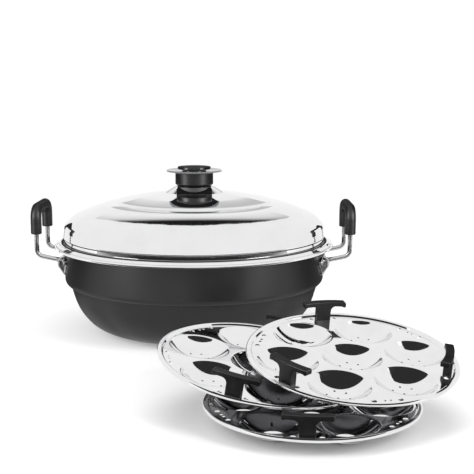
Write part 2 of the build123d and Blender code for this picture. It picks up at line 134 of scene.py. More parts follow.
def linear(colour: str) -> tuple[float, float, float, float]:
    """Turns an sRGB hex colour into linear light.

    Args:
        colour: Six hex digits after a hash sign.

    Returns:
        Red, green, blue and an alpha of one.
    """
    parts = [int(colour[start:start + 2], 16) / 255 for start in (1, 3, 5)]
    light = [part / 12.92 if part <= 0.04045 else ((part + 0.055) / 1.055) ** 2.4 for part in parts]
    return light[0], light[1], light[2], 1.0


def add_node(tree: bpy.types.NodeTree, kind: str, values: dict[Any, Any] | None = None,
             links: dict[Any, bpy.types.NodeSocket] | None = None, **settings: Any) -> bpy.types.Node:
    """Adds a node with its settings, socket values and incoming links.

    Args:
        tree: Node tree that gets the node.
        kind: The node's type, without its ShaderNode prefix.
        values: Values for input sockets, by name or number.
        links: Sockets that feed inputs, by the input's name or number.
        **settings: Attributes of the node itself.

    Returns:
        The new node.
    """
    node = tree.nodes.new("ShaderNode" + kind)
    for name, value in settings.items():
        setattr(node, name, value)
    for key, value in (values or {}).items():
        node.inputs[key].default_value = value
    for key, source in (links or {}).items():
        tree.links.new(source, node.inputs[key])
    return node


def remapped(tree: bpy.types.NodeTree, value: bpy.types.NodeSocket, source: Pair, target: Pair = (0.0, 1.0),
             **settings: Any) -> bpy.types.NodeSocket:
    """Adds a node that maps one range of a value onto another.

    Args:
        tree: Node tree that gets the node.
        value: The value.
        source: Lower and upper end of the value's range.
        target: What the two ends become.
        **settings: Attributes of the node itself.

    Returns:
        The mapped value.
    """
    ends = {"From Min": source[0], "From Max": source[1], "To Min": target[0], "To Max": target[1]}
    return add_node(tree, "MapRange", ends, {"Value": value}, **settings).outputs["Result"]


def white_light(tree: bpy.types.NodeTree, kind: str, strength: float) -> bpy.types.NodeSocket:
    """Adds a plain white shader that gives off light.

    Args:
        tree: Node tree that gets the node.
        kind: Emission for a surface, or Background for the surroundings.
        strength: Strength of the light.

    Returns:
        The shader's output.
    """
    return add_node(tree, kind, {"Color": linear(WHITE), "Strength": strength}).outputs[0]


def any_of(tree: bpy.types.NodeTree, path: bpy.types.Node, kinds: tuple[str, ...]) -> bpy.types.NodeSocket:
    """Adds nodes that say whether a ray is of one of several kinds.

    Args:
        tree: Node tree that gets the nodes.
        path: The tree's Light Path node.
        kinds: Names of the Light Path node's outputs.

    Returns:
        A socket that is one for such a ray and zero for any other.
    """
    total = path.outputs[kinds[0]]
    for kind in kinds[1:]:
        total = add_node(tree, "Math", links={0: total, 1: path.outputs[kind]}, operation="MAXIMUM").outputs[0]
    return total


@dataclass(frozen=True)
class Finish:
    """A surface finish, with what all finishes share: a colour, a gloss and an uneven sheen.

    Attributes:
        name: Name of the material.
        colour: Base colour as sRGB hex.
        roughness: Middle roughness.
        sheen_size: Size of the blotches of sheen.
        sheen_change: Share by which the roughness varies in them.
        grain_size: Size of the grain.
        grain_depth: Depth of the grain.
        metallic: From zero for plastic to one for bare metal.
        worn_colour: Colour in the blotches, or nothing for a slightly darker base colour.
        worn_share: How much of the worn colour the blotches take on.
    """

    name: str
    colour: str
    roughness: float
    sheen_size: float
    sheen_change: float
    grain_size: float
    grain_depth: float
    metallic: float = 0.0
    worn_colour: str = ""
    worn_share: float = 0.5

    def material(self) -> bpy.types.Material:
        """Makes the material, or gives the one already made.

        Returns:
            The material.
        """
        made = bpy.data.materials.get(self.name)
        if made:
            return made
        made = bpy.data.materials.new(self.name)
        made.use_nodes = True
        tree = made.node_tree
        shader = tree.nodes["Principled BSDF"]
        shader.inputs["Metallic"].default_value = self.metallic
        place = add_node(tree, "TexCoord").outputs["Object"]
        tree.links.new(self.blotched_colour(tree, place), shader.inputs["Base Color"])
        tree.links.new(self.uneven_sheen(tree, place), shader.inputs["Roughness"])
        tree.links.new(self.relief(tree, place), shader.inputs["Normal"])
        return made

    def noise(self, tree: bpy.types.NodeTree, place: bpy.types.NodeSocket, size: float,
              detail: float = 3.0) -> bpy.types.NodeSocket:
        """Adds a noise whose blotches measure about size.

        Args:
            tree: Node tree of the material.
            place: Coordinates to read, in metres.
            size: Size of a blotch in millimetres.
            detail: Number of finer layers.

        Returns:
            The noise's value.
        """
        node = add_node(tree, "TexNoise", {"Scale": 1 / mm(size), "Detail": detail}, {"Vector": place})
        return node.outputs["Fac"]

    def blotched_colour(self, tree: bpy.types.NodeTree, place: bpy.types.NodeSocket) -> bpy.types.NodeSocket:
        """Lets the colour drift a little towards the worn colour, in soft blotches.

        Args:
            tree: Node tree of the material.
            place: Coordinates to read, in metres.

        Returns:
            The colour.
        """
        base = linear(self.colour)
        worn = linear(self.worn_colour) if self.worn_colour else (*(part * WORN_TONE for part in base[:3]), 1.0)
        blotches = self.noise(tree, place, self.sheen_size / 2, detail=5.0)
        share = remapped(tree, blotches, BLOTCH_FADE, (0.0, self.worn_share))
        mix = add_node(tree, "Mix", {MIX_FIRST: base, MIX_SECOND: worn}, {MIX_FACTOR: share}, data_type="RGBA")
        return mix.outputs[MIX_RESULT]

    def uneven_sheen(self, tree: bpy.types.NodeTree, place: bpy.types.NodeSocket) -> bpy.types.NodeSocket:
        """Varies the roughness in soft blotches.

        Args:
            tree: Node tree of the material.
            place: Coordinates to read, in metres.

        Returns:
            The roughness.
        """
        spread = self.roughness * self.sheen_change
        return remapped(tree, self.noise(tree, place, self.sheen_size), SHEEN_FADE,
                        (self.roughness - spread, self.roughness + spread))

    def relief(self, tree: bpy.types.NodeTree, place: bpy.types.NodeSocket) -> bpy.types.NodeSocket:
        """Raises the grain a little, as bump.

        Args:
            tree: Node tree of the material.
            place: Coordinates to read, in metres.

        Returns:
            The surface's normal.
        """
        bump = add_node(tree, "Bump", {"Strength": 1.0, "Distance": mm(self.grain_depth)},
                        {"Height": self.noise(tree, place, self.grain_size, detail=2.0)})
        return bump.outputs["Normal"]


@dataclass(frozen=True)
class SpunSteel(Finish):
    """Stainless steel spun and buffed on a lathe, which leaves faint rings about its axis in a mirror surface.

    Attributes:
        ring_spacing: Distance from ring to ring.
        ring_depth: Depth of the rings.
    """

    ring_spacing: float = 2.2
    ring_depth: float = 0.0015

    def relief(self, tree: bpy.types.NodeTree, place: bpy.types.NodeSocket) -> bpy.types.NodeSocket:
        """Adds the rings of the lathe and a faint waviness of the sheet.

        Args:
            tree: Node tree of the material.
            place: Coordinates to read, in metres.

        Returns:
            The surface's normal.
        """
        waves = add_node(tree, "Bump", {"Strength": 1.0, "Distance": mm(self.grain_depth)},
                         {"Height": self.noise(tree, place, self.grain_size, detail=1.0)})
        rings = add_node(tree, "TexWave", {"Scale": 1 / mm(self.ring_spacing) / FULL_TURN, "Distortion": 0.6,
                                           "Detail": 1.0, "Detail Scale": 0.3}, {"Vector": place},
                         wave_type="RINGS", rings_direction="Z")
        bump = add_node(tree, "Bump", {"Strength": 1.0, "Distance": mm(self.ring_depth)},
                        {"Height": rings.outputs["Fac"], "Normal": waves.outputs["Normal"]})
        return bump.outputs["Normal"]


# Stainless steel spun and mirror polished: a clear reflection, softened by faint lathe rings
LID_STEEL = SpunSteel("stainless_steel_spun_polished", "#EDEDEE", roughness=0.035, metallic=1.0, sheen_size=45.0,
                      sheen_change=0.25, grain_size=60.0, grain_depth=0.03)
# Stainless steel pressed from polished sheet: mirror-like, slightly wavy where the cups were drawn
PLATE_STEEL = Finish("stainless_steel_pressed_polished", "#EDEDEE", roughness=0.05, metallic=1.0, sheen_size=25.0,
                     sheen_change=0.3, grain_size=34.0, grain_depth=0.04)
# The same sheet's unpolished underside: duller, and its colour darkened as painted shade for the shade under the
# plates
PLATE_UNDERSIDE_SHADED = Finish("stainless_steel_mill_underside_painted_shade", "#6E6E70", roughness=0.32, metallic=1.0, sheen_size=20.0,
                         sheen_change=0.2, grain_size=6.0, grain_depth=0.01)
# Hard-anodised aluminium: a dark, even, dense oxide with a soft satin sheen
POT_ANODISED = Finish("aluminium_hard_anodised", "#323233", roughness=0.31, metallic=0.85, sheen_size=60.0,
                      sheen_change=0.06, grain_size=1.2, grain_depth=0.004, worn_colour="#353536", worn_share=0.6)
# Stainless spring wire, drawn bright: fairly clear reflections with a slight drag
WIRE_STEEL = Finish("stainless_wire_bright_drawn", "#C9C9CA", roughness=0.2, metallic=1.0, sheen_size=8.0,
                    sheen_change=0.25, grain_size=1.5, grain_depth=0.004)
# Stainless sheet, stamped and tumbled: bright with small soft dents
BRACKET_STEEL = Finish("stainless_sheet_stamped", "#C4C4C5", roughness=0.2, metallic=1.0, sheen_size=5.0,
                       sheen_change=0.3, grain_size=4.0, grain_depth=0.03)
# Aluminium rivets, cold-headed: paler and duller than steel
RIVET_ALUMINIUM = Finish("aluminium_rivet_headed", "#B9B9BA", roughness=0.33, metallic=1.0, sheen_size=4.0,
                         sheen_change=0.2, grain_size=1.5, grain_depth=0.01)
# Phenolic moulded in a polished die: deep black with a broad soft highlight
PHENOLIC = Finish("phenolic_moulded_black", "#070707", roughness=0.4, sheen_size=12.0, sheen_change=0.15,
                  grain_size=0.9, grain_depth=0.006, worn_colour="#111111")
# Heat-proof sleeve of moulded nylon: black, slightly grained, with a dull sheen
SLEEVE = Finish("nylon_sleeve_grained_black", "#0C0C0C", roughness=0.42, sheen_size=10.0, sheen_change=0.15,
                grain_size=0.8, grain_depth=0.01, worn_colour="#161616")
# Phenolic buffed to a gloss: black with clear highlights
PHENOLIC_GLOSS = Finish("phenolic_buffed_black", "#101010", roughness=0.14, sheen_size=10.0, sheen_change=0.25,
                        grain_size=6.0, grain_depth=0.004, worn_colour="#1A1A1A")
# Stainless steel disc, spun and polished: darker and a little softer than the lid
DISC_STEEL = SpunSteel("stainless_steel_disc_polished", "#8A8B8E", roughness=0.13, metallic=1.0, sheen_size=9.0,
                       sheen_change=0.25, grain_size=12.0, grain_depth=0.01)
# Small steel screws, zinc plated: pale grey, slightly cloudy
SCREW_STEEL = Finish("steel_zinc_plated", "#B4B6B8", roughness=0.28, metallic=1.0, sheen_size=3.0,
                     sheen_change=0.3, grain_size=1.0, grain_depth=0.005)

FINISHES: dict[Slot, Finish] = {
    Slot.POT: POT_ANODISED, Slot.RIVET: RIVET_ALUMINIUM, Slot.BRACKET: BRACKET_STEEL, Slot.WIRE: WIRE_STEEL,
    Slot.GRIP: SLEEVE, Slot.LID: LID_STEEL, Slot.KNOB: PHENOLIC, Slot.DISC: DISC_STEEL,
    Slot.CAP: PHENOLIC_GLOSS, Slot.SCREW: SCREW_STEEL, Slot.PLATE: PLATE_STEEL, Slot.STAND: PHENOLIC,
}


def mesh_from(bm: bmesh.types.BMesh, name: str) -> bpy.types.Mesh:
    """Turns an edit mesh into a mesh.

    Args:
        bm: The edit mesh, which is freed.
        name: Name of the mesh.

    Returns:
        The mesh.
    """
    mesh = bpy.data.meshes.new(name)
    bm.to_mesh(mesh)
    bm.free()
    return mesh


def take_in(bm: bmesh.types.BMesh, mesh: bpy.types.Mesh) -> None:
    """Adds a mesh to an edit mesh and removes it.

    Args:
        bm: The edit mesh.
        mesh: The mesh to add.
    """
    bm.from_mesh(mesh)
    bpy.data.meshes.remove(mesh)


def new_object(name: str, data: bpy.types.ID) -> bpy.types.Object:
    """Makes an object in the scene.

    Args:
        name: Name of the object.
        data: Its mesh, camera or lamp.

    Returns:
        The object.
    """
    made = bpy.data.objects.new(name, data)
    bpy.context.scene.collection.objects.link(made)
    return made


def rounded_outline(bm: bmesh.types.BMesh, points: list[Pair], bends: dict[int, float], segments: int = 8,
                    longest: float = 0.0) -> None:
    """Draws an outline in the XZ plane, rounds its corners and cuts up its long straight parts.

    Args:
        bm: Mesh that gets the outline.
        points: Radius and height of each corner in millimetres.
        bends: Radius of the bend at a corner, by the corner's number, in millimetres.
        segments: Segments of each bend.
        longest: Length in millimetres above which a straight part is cut up, or zero for no cuts.
    """
    verts = [bm.verts.new((mm(radius), 0, mm(height))) for radius, height in points]
    for pair in zip(verts, verts[1:]):
        bm.edges.new(pair)
    for number, bend in bends.items():
        arriving = Vector(points[number]) - Vector(points[number - 1])
        leaving = Vector(points[number + 1]) - Vector(points[number])
        offset = bend * math.tan(arriving.angle(leaving) / 2)
        bmesh.ops.bevel(bm, geom=[verts[number]], offset=mm(offset), offset_type="OFFSET", segments=segments,
                        profile=0.5, affect="VERTICES", material=-1)
    for edge in bm.edges[:] if longest else []:
        cuts = int(edge.calc_length() / mm(longest))
        if cuts:
            bmesh.ops.subdivide_edges(bm, edges=[edge], cuts=cuts)


def spin_whole(bm: bmesh.types.BMesh, steps: int) -> None:
    """Spins all that a mesh holds once round the Z axis and closes the seam.

    Args:
        bm: Mesh that holds an outline.
        steps: Segments round the axis.
    """
    bmesh.ops.spin(bm, geom=bm.verts[:] + bm.edges[:], cent=(0, 0, 0), axis=(0, 0, 1), dvec=(0, 0, 0),
                   angle=FULL_TURN, steps=steps, use_merge=True)
    bmesh.ops.remove_doubles(bm, verts=bm.verts, dist=mm(SEAM_DISTANCE))


def face_up(bm: bmesh.types.BMesh) -> None:
    """Turns all faces of an open sheet the same way, with most of them looking up.

    Args:
        bm: Mesh of the sheet.
    """
    bmesh.ops.recalc_face_normals(bm, faces=bm.faces)
    bm.normal_update()
    if sum(face.normal.z * face.calc_area() for face in bm.faces) < 0:
        bmesh.ops.reverse_faces(bm, faces=bm.faces)


def thicken(bm: bmesh.types.BMesh, sheet: float, under_reach: float = 0.0) -> None:
    """Gives an open sheet its thickness, downwards from the modelled side.

    Args:
        bm: Mesh of the sheet's upper side.
        sheet: Thickness in millimetres.
        under_reach: Radius in millimetres within which the underside gets the next material slot.
    """
    bmesh.ops.solidify(bm, geom=bm.faces[:], thickness=mm(sheet))
    bm.normal_update()
    for face in bm.faces:
        middle = face.calc_center_median()
        if face.normal.z < 0 and math.hypot(middle.x, middle.y) < mm(under_reach):
            face.material_index = 1


def finished_piece(bm: bmesh.types.BMesh, name: str, slot: Slot, body: str, nodes: tuple[str, ...],
                   place: Matrix | None = None) -> bpy.types.Object:
    """Turns a mesh into a smooth piece that rides on a body and stands for CAD nodes.

    Args:
        bm: The finished mesh, which is freed.
        name: Name of the piece.
        slot: Material slot of the record.
        body: CAD body that carries the piece.
        nodes: CAD nodes that the piece stands for.
        place: Where the mesh goes, in metres, if not at the origin.

    Returns:
        The new object.
    """
    if place:
        bmesh.ops.transform(bm, matrix=place, verts=bm.verts)
    mesh = mesh_from(bm, name)
    mesh.shade_smooth()
    mesh.set_sharp_from_angle(angle=SHARP_ANGLE)
    piece = new_object(name, mesh)
    mesh.materials.append(FINISHES[slot].material())
    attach(piece, body)
    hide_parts(*nodes)
    LOG.info("%s: %d faces, rides on %s", name, len(mesh.polygons), body)
    return piece


@dataclass
class LidShell:
    """The lid's spun sheet: flange with a rolled edge, groove, steep wall, domed top and boss.

    Attributes:
        sheet: Thickness of the sheet.
        edge_radius: Radius of the lid over its rolled edge.
        edge_height: Height of the rolled edge's upper side.
        bead: Radius of the rolled edge's bead.
        bead_steps: Segments round the bead.
        steps: Segments round the lid.
        longest: Length above which a straight part of the outline is cut up, which keeps the shading even.
        outline: Radius and height of the sheet's outer side, from the knob's hole to the flange's edge.
        bends: Radius of the bend at a corner, by the corner's number.
    """

    sheet: float = 1.0
    edge_radius: float = 140.0
    edge_height: float = 87.4
    bead: float = 1.5
    bead_steps: int = 20
    steps: int = 288
    longest: float = 4.0
    outline: list[Pair] = field(default_factory=lambda: [
        (3.2, 143.7), (19.5, 143.7), (29.5, 137.7), (55.0, 134.1), (77.0, 129.9), (78.6, 127.95), (84.8, 127.41),
        (99.6, 123.72), (121.5, 114.6), (130.4, 106.3), (131.9, 94.9), (130.6, 93.6), (130.6, 89.6), (135.7, 89.6),
        (138.0, 87.4)])
    bends: dict[int, float] = field(default_factory=lambda: {
        1: 1.8, 2: 2.5, 3: 91.0, 4: 2.2, 5: 1.2, 6: 66.0, 7: 125.0, 8: 15.0, 9: 6.0, 10: 1.6, 11: 0.3, 12: 0.3,
        13: 0.8})

    def build(self) -> bpy.types.Object:
        """Builds the lid's sheet with its rolled edge.

        Returns:
            The piece that stands for the lid's CAD node.
        """
        bm = bmesh.new()
        rounded_outline(bm, self.outline, self.bends, longest=self.longest)
        spin_whole(bm, self.steps)
        face_up(bm)
        thicken(bm, self.sheet)
        take_in(bm, self.bead_mesh())
        return finished_piece(bm, "lid_sheet_polished", Slot.LID, "lid", ("lid_shell",))

    def bead_mesh(self) -> bpy.types.Mesh:
        """Makes the rolled bead round the flange's edge.

        Returns:
            The bead's mesh.
        """
        ring = bmesh.new()
        centre = Vector((mm(self.edge_radius - self.bead), 0, mm(self.edge_height - self.bead)))
        turn = Matrix.Translation(centre) @ Matrix.Rotation(math.pi / 2, 4, "X")
        bmesh.ops.create_circle(ring, cap_ends=False, segments=self.bead_steps, radius=mm(self.bead), matrix=turn)
        spin_whole(ring, self.steps)
        bmesh.ops.recalc_face_normals(ring, faces=ring.faces)
        return mesh_from(ring, "bead")


@dataclass
class IdliPlate:
    """A pressed plate: flat sheet with seven drawn cups, steam holes, screw holes and a raised, rolled rim.

    It is modelled level, with the sheet's upper side at height zero, and then put in place.

    Attributes:
        level: Place in the pile.
        centre: Middle of the sheet's upper side.
        lean_forward: Lean towards the camera in degrees.
        lean_right: Lean to the camera's right in degrees.
        turn: Turn about the plate's own axis in degrees.
        radius: Radius over the rolled rim.
        sheet: Thickness of the sheet.
        rim_foot: Radius at which the rim starts to rise.
        rim_ramp: Width over which it rises.
        rim_rise: Height of the rim.
        rim_foot_bend: Radius of the bend at the rim's foot.
        rim_bend: Radius of the bend at the rim's top.
        bead: Radius of the rolled edge.
        bead_return: How far the rolled edge reaches back under the rim, in radii of the bead.
        cup_radius: Radius of a cup's opening.
        cup_depth: Depth of a cup.
        cup_lip: Radius of the bend at a cup's lip.
        cup_circle: Radius of the circle of cups.
        cups_around: Cups in that circle, steam holes in a cup's circle, and groups of holes at the rim.
        steam_hole: Radius of a steam hole.
        steam_circle: Radius of the circle of steam holes.
        hole_circle: Radius of the circle of those groups.
        flank_spread: Distance of a group's outer holes from its middle.
        flank_hole: Radius of the outer holes.
        screw_spread: Distance of a group's screw holes from its middle.
        screw_hole: Radius of the screw holes.
        margin: Width of the flat strip round a cup.
        floor_ring: Angle in radians from a cup's lowest point to the ring of points inside its steam holes.
        wall_steps: Segments from the steam holes up a cup's wall.
        lip_steps: Segments of a cup's lip.
        rim_bend_steps: Segments of each bend of the rim.
        cup_steps: Segments round a cup.
        rim_steps: Segments round the plate.
        flank_steps: Segments round the outer holes.
        screw_steps: Segments round the screw holes.
    """

    level: Level
    centre: Point
    lean_forward: float
    lean_right: float
    turn: float
    radius: float = 81.0
    sheet: float = 0.9
    rim_foot: float = 76.2
    rim_ramp: float = 1.2
    rim_rise: float = 1.9
    rim_foot_bend: float = 0.4
    rim_bend: float = 1.2
    bead: float = 1.45
    bead_return: float = 0.9
    cup_radius: float = 24.3
    cup_depth: float = 11.0
    cup_lip: float = 2.0
    cup_circle: float = 51.0
    cups_around: int = 6
    steam_hole: float = 0.85
    steam_circle: float = 8.5
    hole_circle: float = 71.8
    flank_spread: float = 9.9
    flank_hole: float = 2.0
    screw_spread: float = 2.1
    screw_hole: float = 1.2
    margin: float = 0.25
    floor_ring: float = 0.12
    wall_steps: int = 10
    lip_steps: int = 6
    rim_bend_steps: int = 6
    cup_steps: int = 72
    rim_steps: int = 216
    flank_steps: int = 20
    screw_steps: int = 14

    @property
    def place(self) -> Matrix:
        """Where the plate lies, in metres."""
        lean = Matrix.Rotation(math.radians(self.lean_right), 4, "Y")
        tip = Matrix.Rotation(math.radians(self.lean_forward), 4, "X")
        turn = Matrix.Rotation(math.radians(self.turn), 4, "Z")
        return Matrix.Translation(mm_point(self.centre)) @ lean @ tip @ turn

    @property
    def web_edge(self) -> float:
        """Radius in millimetres at which the flat sheet ends and the rim's mesh begins."""
        return self.rim_foot - self.margin * 2

    def swung(self, number: float, point: Point) -> Vector:
        """Turns a point about the plate's axis to one of its evenly spaced places.

        Args:
            number: Number of the place.
            point: The point in millimetres, at place zero.

        Returns:
            The turned point in metres.
        """
        return Matrix.Rotation(number * FULL_TURN / self.cups_around, 3, "Z") @ mm_point(point)

    def cup_centres(self) -> list[Vector]:
        """Finds the centres of the middle cup and of the ring of cups.

        Returns:
            The centres in metres.
        """
        ring = [self.swung(number + 0.5, (self.cup_circle, 0, 0)) for number in range(self.cups_around)]
        return [Vector((0, 0, 0)), *ring]

    def build(self) -> bpy.types.Object:
        """Builds the plate in place.

        Returns:
            The piece that stands for the plate's CAD node.
        """
        bm = bmesh.new()
        self.add_web(bm)
        cup = self.cup_mesh()
        for centre in self.cup_centres():
            cup.transform(Matrix.Translation(centre))
            bm.from_mesh(cup)
            cup.transform(Matrix.Translation(-centre))
        bpy.data.meshes.remove(cup)
        take_in(bm, self.rim_mesh())
        bmesh.ops.remove_doubles(bm, verts=bm.verts, dist=mm(JOIN_DISTANCE))
        face_up(bm)
        thicken(bm, self.sheet, self.rim_foot)
        name = f"plate_{self.level.value}"
        piece = finished_piece(bm, f"{name}_pressed", Slot.PLATE, f"{self.level.value}_plate", (name,), self.place)
        # The underside inside the rim gets the duller steel, whose darker colour is painted shade
        piece.data.materials.append(PLATE_UNDERSIDE_SHADED.material())
        return piece

    def add_web(self, bm: bmesh.types.BMesh) -> None:
        """Adds the flat sheet between the cups and the rim, with the holes for stands and screws.

        Args:
            bm: Mesh that gets the sheet.
        """
        rings = [(Vector((0, 0, 0)), self.web_edge, self.rim_steps)]
        rings += [(centre, self.cup_radius + self.margin, self.cup_steps) for centre in self.cup_centres()]
        for number in range(self.cups_around):
            for side in (-1, 1):
                flank = self.swung(number, (self.hole_circle, side * self.flank_spread, 0))
                screw = self.swung(number, (self.hole_circle, side * self.screw_spread, 0))
                rings += [(flank, self.flank_hole, self.flank_steps), (screw, self.screw_hole, self.screw_steps)]
        for centre, radius, steps in rings:
            bmesh.ops.create_circle(bm, cap_ends=False, segments=steps, radius=mm(radius),
                                    matrix=Matrix.Translation(centre))
        bmesh.ops.triangle_fill(bm, edges=bm.edges[:], use_beauty=True, use_dissolve=False, normal=(0, 0, 1))

    def cup_outline(self) -> list[Pair]:
        """Works out one cup's outline: a ball's cap, a rounded lip and a flat margin.

        Returns:
            Radius and height of each point in millimetres, from the middle steam hole outwards.
        """
        reach = (self.cup_radius ** 2 / self.cup_depth + self.cup_depth) / 2
        ball = reach - self.cup_lip
        lip_angle = math.asin(self.cup_radius / reach)
        ring_angle, half = math.asin(self.steam_circle / ball), self.steam_hole / ball
        hub_angle = math.asin(self.steam_hole / ball)
        angles = [hub_angle, self.floor_ring, ring_angle - half, ring_angle, ring_angle + half]
        first = angles[-1]
        angles += [first + (lip_angle - first) * (step + 1) / self.wall_steps for step in range(self.wall_steps)]
        points = [(ball * math.sin(angle), ball - self.cup_depth - ball * math.cos(angle)) for angle in angles]
        for step in range(1, self.lip_steps + 1):
            angle = lip_angle * (1 - step / self.lip_steps)
            points.append((self.cup_radius - self.cup_lip * math.sin(angle), self.cup_lip * (math.cos(angle) - 1)))
        return [*points, (self.cup_radius + self.margin, 0)]

    def cup_mesh(self) -> bpy.types.Mesh:
        """Makes one cup about the origin.

        Returns:
            The cup's mesh.
        """
        cup = bmesh.new()
        rounded_outline(cup, self.cup_outline(), {})
        spin_whole(cup, self.cup_steps)
        self.pierce(cup)
        return mesh_from(cup, "cup")

    def pierce(self, cup: bmesh.types.BMesh) -> None:
        """Opens the ring of steam holes in a cup and makes them round.

        Args:
            cup: Mesh of the cup.
        """
        for number in range(self.cups_around):
            target = self.swung(number, (self.steam_circle, 0, -self.cup_depth))
            centre = min(cup.verts, key=lambda vert: (vert.co - target).length)
            middle = centre.co.copy()
            edge = {vert for face in centre.link_faces for vert in face.verts} - {centre}
            for vert in edge:
                vert.co = middle + (vert.co - middle).normalized() * mm(self.steam_hole)
            bmesh.ops.delete(cup, geom=[centre], context="VERTS")

    def rim_mesh(self) -> bpy.types.Mesh:
        """Makes the raised rim with its rolled edge.

        Returns:
            The rim's mesh.
        """
        bead_circle = self.radius - self.bead
        bead_bottom = self.rim_rise - self.bead * 2
        points = [(self.web_edge, 0), (self.rim_foot, 0), (self.rim_foot + self.rim_ramp, self.rim_rise),
                  (bead_circle, self.rim_rise), (self.radius, self.rim_rise), (self.radius, bead_bottom),
                  (bead_circle - self.bead * self.bead_return, bead_bottom)]
        bends = {1: self.rim_foot_bend, 2: self.rim_bend, 4: self.bead, 5: self.bead}
        rim = bmesh.new()
        rounded_outline(rim, points, bends, self.rim_bend_steps)
        spin_whole(rim, self.rim_steps)
        return mesh_from(rim, "rim")


@dataclass
class Dressing:
    """Gives every CAD node the finish of its material slot.

    Attributes:
        slots: Material slot of each node, by node name.
    """

    slots: dict[str, Slot]

    def dress(self, nodes: dict[str, bpy.types.Object]) -> None:
        """Assigns the finishes.

        Args:
            nodes: CAD objects by node name.
        """
        for name, node in nodes.items():
            finish = FINISHES[self.slots[name]].material()
            for slot in node.material_slots:
                slot.material = finish
            LOG.info("%s: %s", name, finish.name)


def even(density: float) -> Density:
    """Gives the stops of a card that is equally dense all over.

    Args:
        density: Share from clear (0) to opaque (1).

    Returns:
        The card's two stops.
    """
    return (0.0, density), (9000.0, density)


@dataclass(frozen=True)
class Flag:
    """A dark card that stands in reflections; its density goes by the distance from its middle.

    Attributes:
        name: Name of the card.
        corners: Its corners.
        density: Stops, each a distance and a share from clear (0) to opaque (1).
        middle: Point from which the distance is measured.
        squeeze: What each direction counts for in the distance.
    """

    name: str
    corners: tuple[Point, ...]
    density: Density
    middle: Point = (0.0, 0.0, 0.0)
    squeeze: Point = (1.0, 1.0, 1.0)


# Low over the front of the plates: gives each cup its dark lens, larger in the front cups than in the rear ones
FLAG_OVER_PLATES = Flag(
    "flag_over_plates",
    ((-40.0, -260.0, 180.0), (250.0, -260.0, 180.0), (560.0, -640.0, 180.0), (-330.0, -640.0, 180.0)),
    even(0.97))
# Behind the lid: an arch, which the dome mirrors as the dark line round its slope
FLAG_BEHIND_LID = Flag(
    "flag_behind_lid",
    tuple((x, 300.0, z) for x, z in (
        (-232.0, 290.0), (194.0, 290.0), (199.0, 323.0), (196.0, 388.0), (187.5, 443.0), (163.0, 519.0),
        (124.0, 583.0), (62.0, 641.0), (20.0, 663.0), (-22.0, 670.0), (-63.0, 662.0), (-104.0, 645.0),
        (-167.0, 583.0), (-203.0, 517.0), (-225.5, 443.0), (-231.0, 387.0), (-235.0, 321.0))),
    ((0.0, 0.0), (140.0, 0.0), (165.0, 0.08), (190.0, 0.2), (205.0, 0.35), (220.0, 0.58), (235.0, 0.84),
     (250.0, 0.96), (265.0, 0.985), (500.0, 0.99)),
    middle=(-27.0, 300.0, 300.0), squeeze=(0.93, 0.0, 1.0))
# In front of the arch: a smaller one, mirrored as the grey of the crown towards its ring
FLAG_BEHIND_CROWN = Flag(
    "flag_behind_crown",
    ((-150.0, 290.0, 205.0), (110.0, 290.0, 205.0), (110.0, 290.0, 345.0), (-150.0, 290.0, 345.0)),
    ((0.0, 0.0), (60.0, 0.0), (85.0, 0.05), (98.0, 0.16), (110.0, 0.32), (118.0, 0.4), (138.0, 0.4),
     (144.0, 0.0), (300.0, 0.0)),
    middle=(-20.0, 290.0, 215.0), squeeze=(1.108, 0.0, 1.0))
# On the floor towards the camera: mirrored dark in the lid's groove, in the wires and under the rolled edges
FLAG_ON_FLOOR = Flag(
    "flag_on_floor",
    ((-1300.0, -1500.0, 2.0), (1300.0, -1500.0, 2.0), (1300.0, -100.0, 2.0), (-1300.0, -100.0, 2.0)),
    ((0.0, 0.98), (600.0, 0.98), (850.0, 0.85), (1000.0, 0.5), (1120.0, 0.0), (9000.0, 0.0)),
    middle=(0.0, -900.0, 2.0))
# On the floor beside and behind the pot: keeps the pot's edges from mirroring the white floor
FLAG_ON_FLOOR_BEHIND = Flag(
    "flag_on_floor_behind",
    ((-1500.0, -80.0, 2.0), (1500.0, -80.0, 2.0), (1500.0, 700.0, 2.0), (-1500.0, 700.0, 2.0)),
    ((0.0, 0.9), (1450.0, 0.9), (1580.0, 0.3), (4000.0, 0.3)),
    middle=(0.0, 1500.0, 2.0), squeeze=(0.0, 1.0, 0.0))
# Under the knob's disc: widens the knob's dark image in the crown to the width of the disc
UNDER_DISC_RADIUS, UNDER_DISC_HEIGHT, UNDER_DISC_CORNERS = 26.5, 157.3, 40
FLAG_UNDER_DISC = Flag(
    "flag_under_disc",
    tuple((UNDER_DISC_RADIUS * math.cos(angle), UNDER_DISC_RADIUS * math.sin(angle), UNDER_DISC_HEIGHT)
          for angle in (step * FULL_TURN / UNDER_DISC_CORNERS for step in range(UNDER_DISC_CORNERS))),
    even(0.95))
# Tall cards at both sides: darken the pot towards its edges
FLAGS_AT_SIDES = tuple(
    Flag(f"flag_{word}",
         ((x, -150.0, -5.0), (x, 700.0, -5.0), (x, 700.0, 1800.0), (x, -150.0, 1800.0)),
         even(0.85))
    for x, word in ((-900.0, "at_left"), (900.0, "at_right")))
# Far behind everything: keeps the pot's and the plastic parts' edges from mirroring the white background
FLAG_AT_BACK = Flag(
    "flag_at_back",
    ((-3000.0, 700.0, -5.0), (3000.0, 700.0, -5.0), (3000.0, 700.0, 1800.0), (-3000.0, 700.0, 1800.0)),
    even(0.9))


